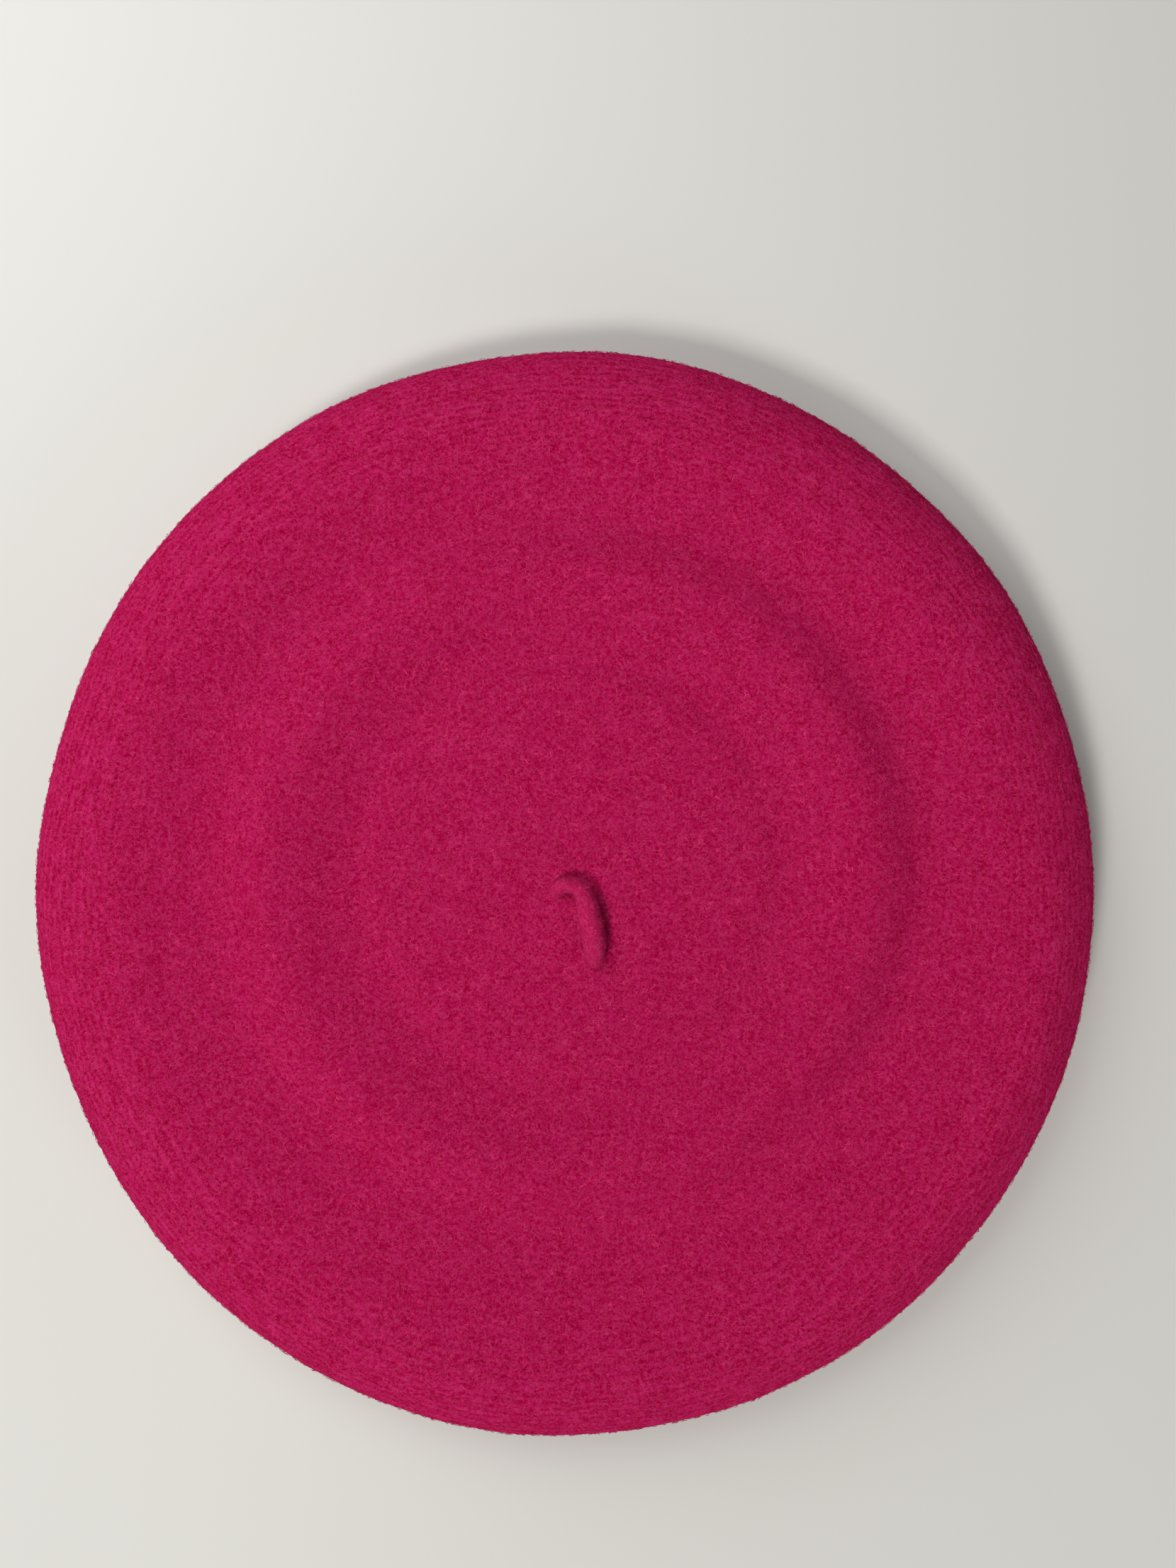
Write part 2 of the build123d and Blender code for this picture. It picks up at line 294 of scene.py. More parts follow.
def turned_skin(outline, columns):
    """Points, faces and profile row of a closed skin turned round the Z axis."""
    points, faces, rows = [(0.0, 0.0, outline[0][1])], [], [0]
    starts = [(0, 1)]
    for row in range(1, len(outline) - 1):
        radius, height = outline[row]
        count = columns[row]
        angles = np.arange(count) * math.tau / count
        starts.append((len(points), count))
        points += list(zip(radius * np.cos(angles), radius * np.sin(angles), np.full(count, height)))
        rows += [row] * count
    starts.append((len(points), 1))
    points.append((0.0, 0.0, outline[-1][1]))
    rows.append(len(outline) - 1)
    for (start, count), (next_start, next_count) in zip(starts[1:], starts[2:-1]):
        if count <= next_count:
            faces += join_rings(start, count, next_start, next_count)
        else:
            faces += [face[::-1] for face in join_rings(next_start, next_count, start, count)]
    first, first_count = starts[1]
    last, last_count = starts[-2]
    faces += [(0, first + (k + 1) % first_count, first + k) for k in range(first_count)]
    faces += [(len(points) - 1, last + k, last + (k + 1) % last_count) for k in range(last_count)]
    return np.array(points), faces, np.array(rows)


def new_piece(name, points, faces, material=None, smooth=True):
    """A mesh object at the origin, its normals outwards. Points are in millimetres."""
    mesh = bpy.data.meshes.new(name)
    mesh.from_pydata((np.asarray(points) * MM).tolist(), [], faces)
    build = bmesh.new()
    build.from_mesh(mesh)
    bmesh.ops.recalc_face_normals(build, faces=build.faces)
    build.to_mesh(mesh)
    build.free()
    mesh.polygons.foreach_set("use_smooth", [smooth] * len(mesh.polygons))
    if material:
        mesh.materials.append(material)
    piece = bpy.data.objects.new(name, mesh)
    bpy.context.collection.objects.link(piece)
    return piece


def settle(piece, body, node):
    """Says which body a piece rides on and which CAD node it replaces."""
    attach(piece, body)
    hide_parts(node)


def add_attribute(piece, name, values):
    """A number stored on each point, for the materials and the node trees to read."""
    attribute = piece.data.attributes.new(name, "FLOAT", "POINT")
    attribute.data.foreach_set("value", np.asarray(values, dtype=np.float32))


def distance_along(places):
    """How far each place is from the first one, along the places."""
    return np.concatenate([[0], np.cumsum(np.linalg.norm(np.diff(places, axis=0), axis=1))])


def wander(points, size, seed):
    """Smooth random values, about -1 to 1, at points in millimetres, changing over this size."""
    shift = Vector((seed * 17.3, seed * 5.1, seed * 11.7))
    return np.array([noise.noise(Vector(point) / size + shift) for point in points]) * 1.6


# %% The felt skin
outer_count, inner_count = 480, 240
columns = [
    ring_columns(radius, inner_count if inside else outer_count)
    for (radius, _), inside in zip(profile, on_inner)
]
skin, skin_faces, skin_rows = turned_skin(profile, columns)
slope = np.gradient(profile, axis=0)
slope /= np.linalg.norm(slope, axis=1)[:, None]
reach = np.hypot(skin[:, 0], skin[:, 1])
around = skin[:, :2] / np.maximum(reach, 1e-6)[:, None]
outwards = np.column_stack([around * -slope[skin_rows, 1][:, None], slope[skin_rows, 0]])

# How much of each rule a point follows, from its place on the profile. Both faces of the felt move
# together, so its thickness stays the same.
on_crown = ease(skin[:, 2], 14, 20)
on_rim = ease(reach, 105, 132)
free_felt = ease(reach, 100, 118)

# Slow waves of the cloth, in three sizes: their heights are the first number of each line.
lift = 0.45 * wander(skin * (1, 1, 0.2), 55, 1) * on_crown * (1 - 0.55 * ease(reach, 118, 134))
lift += 0.22 * wander(skin * (1, 1, 0.3), 19, 2) * on_crown
bulge = 0.5 * wander(skin * (1, 1, 0.6), 48, 3) * on_rim
lump = 0.07 * wander(skin, 6, 4) + 0.05 * wander(skin, 3.2, 5)
lump *= np.where(on_inner[skin_rows], 0.6, 1.0) * ease(skin[:, 2], 0.2, 2.0)

# The stem's root gathers the felt round it and puckers it on one side, and a small nib of felt
# stands to the left.
root_x, root_y = stem_root
gather = np.hypot(skin[:, 0] - root_x, skin[:, 1] - root_y)
pucker = np.hypot(skin[:, 0] - root_x - 1.0, (skin[:, 1] - root_y - 4.2) * 1.5)
nib = np.hypot(skin[:, 0] + 60.6, skin[:, 1] - 18.6)
lift += on_crown * (0.55 * mound(gather, 3.6) - 0.9 * mound(pucker, 2.6))
lift += on_crown * 0.7 * mound(nib, 1.5)

# The near rim was pushed in a little, so a low welt stands along it with a shallow dip inside.
pushed_from = math.radians(-52)
front_right = np.array((math.cos(pushed_from), math.sin(pushed_from)))
pushed = ease(around @ front_right, 0.15, 0.95)
lift += pushed * on_crown * (1.0 * mound(reach - 126, 6.5) - 0.7 * mound(reach - 112, 8))

skin[:, 2] += lift
skin[:, :2] += around * (bulge * free_felt)[:, None]
skin += outwards * lump[:, None]
# The ring moves off the middle and the rim goes oval, and each rule fades where the other starts.
follow = on_crown * (1 - ease(reach, 88, 128))
skin[:, 0] += ring_shift[0] * follow
skin[:, 1] += ring_shift[1] * follow
skin[:, 0] *= 1 - oval * free_felt
skin[:, 1] *= 1 + oval * free_felt
skin[:, 2] = np.maximum(skin[:, 2], 0)
felt_shell = new_piece("felt_shell", skin, skin_faces)
along = distance_along(profile)
print("felt shell", len(skin), "points", len(felt_shell.data.polygons), "faces")


# %% [markdown]
# ## Fulled wool
#
# Seen close, fulled wool is a mat of short fibres over pits. Its colour follows the bump's height:
# the pits are painted darker, as painted shade, and the raised fibres lighter, as painted light,
# and the loose strands on top are paler fibres that are also painted lighter. So its colour is
# mottled at about a millimetre and again, faintly, at several. It scatters a little light at grazing
# angles, which the shader's sheen does. Light also goes about a millimetre into it, the red part
# furthest, so its shadows stay red, and the shader's subsurface does that. Towards the rim the cloth
# is stretched and the courses that it was knitted in show through as fine rings about 2 mm apart,
# broken into short dashes.
#
# One function makes the finish of the shell and the stem, because they are the same wool; the loose
# nap is that wool too, with a plainer finish of its own.
# The rings need to know how far a point is from the crown's middle along the cloth, so the shell
# stores that distance on its points, with a second number for how much of the rings shows.

# %% Store the cloth's own coordinates on the shell
add_attribute(felt_shell, "along_cloth", along[skin_rows])
courses_show = 0.25 + 0.75 * ease(reach, 104, 128)
courses_show *= np.where(on_inner[skin_rows], 1.3, 1.0)
add_attribute(felt_shell, "courses_show", np.minimum(courses_show, 1) * ease(reach, 20, 100))

# %% Wool finish
WOOL_PIT_SHADE = (0.26, 0.0004, 0.027)
WOOL_DARK = (0.31, 0.0010, 0.042)
WOOL_MID = (0.365, 0.0035, 0.065)
WOOL_LIGHT = (0.43, 0.012, 0.099)
WOOL_STRAND = (0.53, 0.040, 0.152)


def push_aside(tree, place, pattern, amount):
    """The places moved by a pattern's colour, which bends what is drawn on them."""
    values = {0: pattern.outputs["Color"], 1: (amount,) * 3, 2: place}
    return add_node(tree, "ShaderNodeVectorMath", values, operation="MULTIPLY_ADD").outputs[0]


def wool_mat(tree, place):
    """Heights of the matted surface: the fine fibres, and the lumps that they gather into."""
    bent = add_node(tree, "ShaderNodeTexNoise", {"Vector": place, "Scale": 0.55, "Detail": 2.0})
    fibres = noise_node(tree, push_aside(tree, place, bent, 3.0), 1.25, 3.5, 0.6)
    lumps = noise_node(tree, place, 0.21, 2.0)
    return fibres, lumps


def loose_strands(tree, place, scale, shift):
    """1 along thin curling lines and 0 between them, as the fibres that lie on top of the mat."""
    away = {0: place, 1: (shift, shift, -shift)}
    moved = add_node(tree, "ShaderNodeVectorMath", away, operation="ADD").outputs[0]
    level = math_node(tree, "SUBTRACT", noise_node(tree, moved, scale, 1.5, 0.55), 0.5)
    line = math_node(tree, "MULTIPLY_ADD", math_node(tree, "ABSOLUTE", level), -11, 1, clamp=True)
    patches = noise_node(tree, moved, scale * 0.9, 2.0)
    gaps = math_node(tree, "MULTIPLY_ADD", patches, 5, -2.0, clamp=True)
    return math_node(tree, "MULTIPLY", line, gaps)


course_pitch = 1.95


def knit_courses(tree):
    """Height of the knitted courses, from -1 to 1, and how much of them shows."""
    along_cloth, show = attribute_value(tree, "along_cloth"), attribute_value(tree, "courses_show")
    place = millimetres(tree)

    def vector(operation, first, second=None):
        inputs = {0: first} if second is None else {0: first, 1: second}
        return add_node(tree, "ShaderNodeVectorMath", inputs, operation=operation).outputs[0]

    # Dashes: a noise read on a small circle, so it is drawn out round the hat and short along it.
    turn = vector("NORMALIZE", vector("MULTIPLY", place, (1, 1, 0)))
    ring = vector("MULTIPLY", turn, (21, 21, 0))
    level = math_node(tree, "MULTIPLY", along_cloth, 0.62)
    upright = add_node(tree, "ShaderNodeCombineXYZ", {"Z": level}).outputs[0]
    drawn_out = vector("ADD", ring, upright)
    dashes = noise_node(tree, drawn_out, 1.0, 2.5, 0.6)
    drift = math_node(tree, "MULTIPLY", noise_node(tree, place, 0.035, 1.0), 5.0)
    phase = math_node(tree, "MULTIPLY_ADD", along_cloth, math.tau / course_pitch, drift)
    wave = math_node(tree, "SINE", phase)
    broken = math_node(tree, "MULTIPLY_ADD", dashes, 3.2, -1.6)
    mixed = math_node(tree, "MULTIPLY_ADD", wave, 0.35, broken)
    return math_node(tree, "MULTIPLY", mixed, show)


def wool_finish(name, courses=False, painted_light_share=0.0):
    """The fulled wool, with or without its knitted courses showing. A share of painted light makes all
    of it lighter.
    """
    material, tree, shader = new_material(name, Roughness=0.95, Sheen_Weight=0.05, Sheen_Roughness=0.5)
    shader.inputs["Specular IOR Level"].default_value = 0.0
    shader.inputs["Sheen Tint"].default_value = (1.0, 0.10, 0.30, 1)
    shader.inputs["Subsurface Weight"].default_value = 0.22
    shader.inputs["Subsurface Radius"].default_value = (1.0, 0.05, 0.15)
    shader.inputs["Subsurface Scale"].default_value = 1.6 * MM
    place = millimetres(tree)
    fibres, lumps = wool_mat(tree, place)
    height = math_node(tree, "MULTIPLY_ADD", lumps, 0.25, fibres)
    if courses:
        height = math_node(tree, "MULTIPLY_ADD", knit_courses(tree), 0.24, height)
    # Painted shade and light: the colour follows the bump's height, darker in the low pits and courses
    # and lighter on the raised fibres.
    shade_by_height = ((0.46, WOOL_PIT_SHADE), (0.58, WOOL_DARK), (0.70, WOOL_MID), (0.86, WOOL_LIGHT))
    colour = ramp_node(tree, height, *shade_by_height)
    # Loose strands on top: paler fibres, and also painted lighter as painted light on the fibres that
    # lie uppermost.
    coarse, fine = loose_strands(tree, place, 0.85, 0), loose_strands(tree, place, 1.15, 40)
    strands = math_node(tree, "MAXIMUM", coarse, fine)
    colour = mix_colour(tree, math_node(tree, "MULTIPLY", strands, 0.62), colour, (*WOOL_STRAND, 1))
    height = math_node(tree, "MULTIPLY_ADD", strands, 0.16, height)
    patches = noise_node(tree, place, 0.028, 2.0)
    colour = mix_colour(tree, math_node(tree, "MULTIPLY", patches, 0.22), colour, (*WOOL_DARK, 1))
    # Painted light: the share given lightens the whole finish towards the strand colour.
    colour = mix_colour(tree, painted_light_share, colour, (*WOOL_STRAND, 1))
    tree.links.new(colour, shader.inputs["Base Color"])
    tree.links.new(bump_node(tree, height, 0.42 * MM, 0.9), shader.inputs["Normal"])
    return material


shell_wool = wool_finish("shell_wool", courses=True)
felt_shell.data.materials.append(shell_wool)
print("wool finish has", len(shell_wool.node_tree.nodes), "nodes")


# %% [markdown]
# ## Nap
#
# Thousands of short fibres stand a little out of the felt. They soften the outline and make the
# light strokes that a bump pattern can't. Hair would do it, but this has to end as a plain mesh, so
# Geometry Nodes scatter one tiny spindle: two pointed ends near the felt and its waist raised. Six
# flat faces are enough for something a tenth of a millimetre thick. Fibres this thin let light
# through, so the nap throws no shadow. The tree's inputs say how dense, how long and how upright
# the nap is, and the number stored as "nap" says where it grows.

# %% One fibre
def spindle(name, waist, raised):
    """A closed sliver one unit long along X, with its waist raised along Z."""
    ring = [(0.48, waist * math.cos(turn), raised + waist * math.sin(turn)) for turn in (0.5, 2.6, 4.7)]
    points = [(0, 0, -0.03), *ring, (1, 0, 0.02)]
    faces = [(0, 2, 1), (0, 3, 2), (0, 1, 3), (4, 1, 2), (4, 2, 3), (4, 3, 1)]
    return new_piece(name, np.array(points) / MM, faces, smooth=False)


fibre = spindle("wool_fibre", waist=0.045, raised=0.09)


# %% Geometry Nodes helpers
def node_tree(name, **sockets):
    """A geometry node tree with these named inputs, each as (type, default), and a mesh in and out."""
    tree = bpy.data.node_groups.new(name, "GeometryNodeTree")
    tree.interface.new_socket("Geometry", in_out="INPUT", socket_type="NodeSocketGeometry")
    tree.interface.new_socket("Geometry", in_out="OUTPUT", socket_type="NodeSocketGeometry")
    for title, (kind, default) in sockets.items():
        socket = tree.interface.new_socket(title, in_out="INPUT", socket_type=f"NodeSocket{kind}")
        if default is not None:
            socket.default_value = default
    start = tree.nodes.new("NodeGroupInput")
    end = tree.nodes.new("NodeGroupOutput")
    return tree, start.outputs, end.inputs["Geometry"]


def grow(source, tree, name, body, slot, casts_shadow=True, **values):
    """Runs a node tree on a copy of a mesh and keeps the result as a plain mesh on a body."""
    carrier = bpy.data.objects.new(name + "_carrier", source.data.copy())
    bpy.context.collection.objects.link(carrier)
    modifier = carrier.modifiers.new("grow", "NODES")
    modifier.node_group = tree
    for item in tree.interface.items_tree:
        if item.in_out == "INPUT" and item.name in values:
            modifier[item.identifier] = values[item.name]
    bpy.context.view_layer.update()
    evaluated = carrier.evaluated_get(bpy.context.evaluated_depsgraph_get())
    mesh = bpy.data.meshes.new_from_object(evaluated)
    mesh.name = name
    piece = bpy.data.objects.new(name, mesh)
    bpy.context.collection.objects.link(piece)
    bpy.data.objects.remove(carrier)
    if body:
        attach(piece, body)
    piece.visible_shadow = casts_shadow
    print(name, len(mesh.polygons), "faces")
    return piece


# %% Nap tree
nap_tree, nap_in, nap_out = node_tree(
    "nap",
    Fibre=("Object", None),
    Density=("Float", 1.0e6),
    Shortest=("Float", 0.8 * MM),
    Longest=("Float", 2.4 * MM),
    Rise=("Float", 0.35),
    Seed=("Int", 1),
    Finish=("Material", None),
)
where = add_node(nap_tree, "GeometryNodeInputNamedAttribute", {"Name": "nap"}, data_type="FLOAT")
scatter = add_node(
    nap_tree,
    "GeometryNodeDistributePointsOnFaces",
    {
        "Mesh": nap_in["Geometry"],
        "Density": math_node(nap_tree, "MULTIPLY", nap_in["Density"], where.outputs["Attribute"]),
        "Seed": nap_in["Seed"],
    },
)
upright = add_node(
    nap_tree,
    "FunctionNodeAlignRotationToVector",
    {"Rotation": scatter.outputs["Rotation"], "Vector": scatter.outputs["Normal"]},
    axis="Z",
)
tilt = add_node(nap_tree, "FunctionNodeRandomValue", {"Seed": nap_in["Seed"]}, data_type="FLOAT_VECTOR")
tilt.inputs["Min"].default_value = (0, -1, 0)
tilt.inputs["Max"].default_value = (0, 0.1, math.tau)
raised = add_node(nap_tree, "ShaderNodeSeparateXYZ", {"Vector": tilt.outputs["Value"]})
leaning = math_node(nap_tree, "MULTIPLY", raised.outputs["Y"], nap_in["Rise"])
turned = add_node(nap_tree, "ShaderNodeCombineXYZ", {"Y": leaning, "Z": raised.outputs["Z"]})
turned_round = add_node(
    nap_tree,
    "FunctionNodeRotateRotation",
    {"Rotation": upright.outputs["Rotation"], "Rotate By": turned.outputs[0]},
    rotation_space="LOCAL",
)
length = add_node(
    nap_tree,
    "FunctionNodeRandomValue",
    {"Seed": math_node(nap_tree, "ADD", nap_in["Seed"], 7)},
    data_type="FLOAT",
)
nap_tree.links.new(nap_in["Shortest"], length.inputs[2])
nap_tree.links.new(nap_in["Longest"], length.inputs[3])
fibre_width = 1.7 * MM
scales = {"X": length.outputs[1], "Y": fibre_width, "Z": length.outputs[1]}
size = add_node(nap_tree, "ShaderNodeCombineXYZ", scales)
fibre_info = add_node(nap_tree, "GeometryNodeObjectInfo", {"Object": nap_in["Fibre"]})
planted = add_node(
    nap_tree,
    "GeometryNodeInstanceOnPoints",
    {
        "Points": scatter.outputs["Points"],
        "Instance": fibre_info.outputs["Geometry"],
        "Rotation": turned_round.outputs["Rotation"],
        "Scale": size.outputs[0],
    },
)
realized = add_node(
    nap_tree, "GeometryNodeRealizeInstances", {"Geometry": planted.outputs["Instances"]}
)
finished = add_node(
    nap_tree,
    "GeometryNodeSetMaterial",
    {"Geometry": realized.outputs["Geometry"], "Material": nap_in["Finish"]},
)
nap_tree.links.new(finished.outputs["Geometry"], nap_out)
print("nap tree has", len(nap_tree.nodes), "nodes")

# %% Where the nap grows
nap_wool, nap_shader_tree, nap_shader = new_material("nap_wool", Roughness=1.0)
nap_shader.inputs["Specular IOR Level"].default_value = 0.0
strand = noise_node(nap_shader_tree, millimetres(nap_shader_tree), 0.45, 1.0)
strand_steps = ((0.30, WOOL_MID), (0.5, WOOL_LIGHT), (0.70, (0.60, 0.040, 0.145)))
strand_colour = ramp_node(nap_shader_tree, strand, *strand_steps)
nap_shader_tree.links.new(strand_colour, nap_shader.inputs["Base Color"])

outer_face = ~on_inner[skin_rows]
top_face = outer_face & (skin[:, 2] > 3)
add_attribute(felt_shell, "nap", np.zeros(len(skin)))
# Each zone: where it grows, fibres in a square metre, seed, and how far the fibres stand up.
zones = {
    "crown_nap": (top_face * (1 - ease(reach, 96, 104)), 0.9e6, 11, 0.10),
    "rim_nap": (top_face * ease(reach, 96, 104), 0.66e6, 12, 0.12),
    "underside_nap": (outer_face & (skin[:, 2] <= 3) & (skin[:, 2] > 0.15), 0.5e6, 13, 0.06),
    "lining_nap": (~outer_face & (skin[:, 2] > 8) & (reach < 100), 0.45e6, 14, 0.12),
}
for zone, (weights, density, seed, rise) in zones.items():
    felt_shell.data.attributes["nap"].data.foreach_set("value", np.asarray(weights, dtype=np.float32))
    grow(felt_shell, nap_tree, zone, "hat", "felt", casts_shadow=False,
         Fibre=fibre, Density=density, Seed=seed, Rise=rise, Finish=nap_wool)


# %% [markdown]
# ## The stem
#
# The short tail in the middle of a beret is where its knitting began: a few stitches that were left
# long, pulled through the crown and fulled into a soft cord. It leaves the crown thin, bends over
# and is fattest past its middle. It's one soft tube. Its lumps and its nap are the shell's. Under
# the crown the same cord ends in a flat knot that is tacked to the felt.

# %% A soft cord along a path
def smooth_path(stations, count):
    """A smooth curve through the stations, as count evenly spaced points. Any number of values each."""
    stations = np.asarray(stations, dtype=float)
    padded = np.vstack([2 * stations[0] - stations[1], stations, 2 * stations[-1] - stations[-2]])
    dense = []
    for before, here, after, last in zip(padded, padded[1:], padded[2:], padded[3:]):
        for t in np.linspace(0, 1, 24, endpoint=False):
            bend = 2 * before - 5 * here + 4 * after - last
            twist = 3 * here - before - 3 * after + last
            dense.append(0.5 * (2 * here + (after - before) * t + bend * t * t + twist * t**3))
    dense = np.array([*dense, stations[-1]])
    travelled = distance_along(dense[:, :3])
    wanted = np.linspace(0, travelled[-1], count)
    return np.column_stack([np.interp(wanted, travelled, dense[:, k]) for k in range(dense.shape[1])])


def soft_cord(name, path, columns, lumps, seed, material):
    """A closed tube. Each row of the path is a place and a radius, and lumps is how uneven it is."""
    places, radii = path[:, :3], path[:, 3]
    headings = np.gradient(places, axis=0)
    headings /= np.linalg.norm(headings, axis=1)[:, None]
    side = np.cross(headings[0], (0.0, 0.0, 1.0) if abs(headings[0, 2]) < 0.9 else (1.0, 0.0, 0.0))
    points = []
    turns = np.arange(columns) * math.tau / columns
    for place, radius, heading in zip(places, radii, headings):
        side = side - heading * np.dot(side, heading)
        side /= np.linalg.norm(side)
        across = np.cross(heading, side)
        ring = place + radius * (np.cos(turns)[:, None] * side + np.sin(turns)[:, None] * across)
        uneven = lumps * (wander(ring, 3.4, seed) + 0.5 * wander(ring, 1.5, seed + 1))
        uneven *= min(1, radius / 1.5)
        points.append(place + (ring - place) * (1 + uneven / max(radius, 0.3))[:, None])
    rows = len(places)
    faces = []
    for row in range(rows - 1):
        faces += join_rings(row * columns, columns, (row + 1) * columns, columns)
    first, last = rows * columns, rows * columns + 1
    faces += [(first, (k + 1) % columns, k) for k in range(columns)]
    end = (rows - 1) * columns
    faces += [(last, end + k, end + (k + 1) % columns) for k in range(columns)]
    return new_piece(name, np.vstack([*points, places[0], places[-1]]), faces, material)


# %% Stem and the knot under the crown
# Painted light: the cord's copy of the wool is lighter all over than the shell's.
cord_wool = wool_finish("cord_wool", painted_light_share=0.14)
stem_spine = [
    (*stem_root, 23.6, 1.9),
    (*stem_root, 24.8, 2.4),
    (-1.55, 2.05, 25.9, 2.1),
    (-0.4, 2.75, 26.8, 2.0),
    (1.6, 3.0, 27.1, 2.1),
    (3.6, 2.1, 27.2, 2.3),
    (4.95, 0.2, 27.4, 2.5),
    (5.9, -3.2, 27.8, 2.85),
    (6.75, -7.3, 28.0, 3.0),
    (7.35, -11.5, 27.9, 2.95),
    (7.5, -14.6, 27.6, 2.6),
    (7.42, -16.6, 27.2, 1.75),
    (7.35, -17.9, 26.9, 0.6),
]
stem = soft_cord("stem_cord", smooth_path(stem_spine, 78), 28, 0.17, 21, cord_wool)
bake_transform(stem)
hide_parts("stem")

# Height and radius of the knot, from its neck in the crown down to its flat underside.
knot_sections = [
    (24.2, 1.9), (22.6, 2.2), (22.05, 4.2), (21.8, 6.2), (21.35, 6.75),
    (20.95, 6.3), (20.7, 4.6), (20.62, 2.2), (20.6, 0.5),
]
knot_spine = np.array([(*stem_root, height, radius) for height, radius in knot_sections])
stem_knot = soft_cord("stem_knot", knot_spine, 40, 0.16, 25, cord_wool)
settle(stem_knot, "hat", "stem_root")

above_crown = [ease(vertex.co.z / MM, 24.5, 25.5) for vertex in stem.data.vertices]
add_attribute(stem, "nap", np.array(above_crown))
stem_nap = grow(
    stem, nap_tree, "stem_nap", None, "felt", casts_shadow=False, Fibre=fibre, Density=1.3e6,
    Shortest=0.7 * MM, Longest=1.9 * MM, Rise=0.15, Seed=15, Finish=nap_wool,
)
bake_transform(stem_nap)
bpy.data.objects.remove(fibre)
print("stem", len(stem.data.polygons), "faces; knot", len(stem_knot.data.polygons), "faces")


# %% [markdown]
# ## Strips: leather, tape, ribbon and labels
#
# All the flat pieces are made in one way: a grid of places for the middle of the strip, pushed out
# by half its thickness to both sides and closed with a soft edge. Each point keeps how far along
# the strip it is and how far across, in millimetres, so a weave follows its strip round any bend.
# The strips over a centimetre wide also print the size that each was cut to.

# %% A strip with thickness
def strip(name, grid, thick, material, closed=False):
    """A solid strip round a grid of places: rows run along it, columns go across it."""
    rows, columns, _ = grid.shape
    along = np.gradient(grid, axis=0)
    if closed:
        along = (np.roll(grid, -1, axis=0) - np.roll(grid, 1, axis=0)) / 2
    across = np.gradient(grid, axis=1)
    across /= np.linalg.norm(across, axis=2)[..., None]
    face_out = np.cross(along, across)
    face_out /= np.linalg.norm(face_out, axis=2)[..., None]
    half = thick / 2
    soft = half * 0.7
    start_edge = grid[:, :1] - across[:, :1] * soft
    end_edge = grid[:, -1:] + across[:, -1:] * soft
    front, rear = grid + face_out * half, (grid - face_out * half)[:, ::-1]
    section = np.concatenate([front, end_edge, rear, start_edge], axis=1)
    size = section.shape[1]
    faces = []
    for row in range(rows if closed else rows - 1):
        faces += join_rings(row * size, size, (row + 1) % rows * size, size)
    if not closed:
        for end in (0, (rows - 1) * size):
            behind = end + 2 * columns
            cap = [(end + k, end + k + 1, behind - k - 1, behind - k) for k in range(columns - 1)]
            corner = end + columns
            cap += [(corner - 1, corner, corner + 1), (end, behind, end + size - 1)]
            faces += cap if end == 0 else [face[::-1] for face in cap]
    piece = new_piece(name, section.reshape(-1, 3), faces, material)
    run, cross = distance_along(grid[:, columns // 2]), distance_along(grid[rows // 2])
    section_cross = np.concatenate([cross, cross[-1:], cross[::-1], cross[:1]])
    add_attribute(piece, "run", np.repeat(run, size))
    add_attribute(piece, "cross", np.tile(section_cross, rows))
    return piece


def declare_sheet(piece, length, width):
    """Prints what flat cloth or leather this was. Sizes are in millimetres."""
    print(piece.name, "is", length, "x", width, "mm flat,", len(piece.data.polygons), "faces")


# %% Finishes for the strips
def ribbed_cloth(name, colour, dark, pitch, depth, **shader_values):
    """Cloth with fine ribs over the strip, each rib broken up by its warp threads. Its colour is painted
    darker where the weave is low, as painted shade, and a noise adds uneven tone.
    """
    material, tree, shader = new_material(name, **shader_values)
    run, cross = attribute_value(tree, "run"), attribute_value(tree, "cross")
    rib = math_node(tree, "SINE", math_node(tree, "MULTIPLY", run, math.tau / pitch))
    warp = math_node(tree, "SINE", math_node(tree, "MULTIPLY", cross, math.tau / (pitch * 0.55)))
    weave = math_node(tree, "MULTIPLY_ADD", warp, 0.10, rib)
    uneven = noise_node(tree, millimetres(tree), 1.6, 3.0, 0.6)
    height = math_node(tree, "MULTIPLY_ADD", uneven, 0.9, weave)
    # Painted shade: darker where the weave is low; the noise in the height adds uneven tone.
    shade = math_node(tree, "MULTIPLY_ADD", height, 0.28, 0.34, clamp=True)
    tree.links.new(mix_colour(tree, shade, (*dark, 1), (*colour, 1)), shader.inputs["Base Color"])
    tree.links.new(bump_node(tree, height, depth * MM, 0.8), shader.inputs["Normal"])
    return material


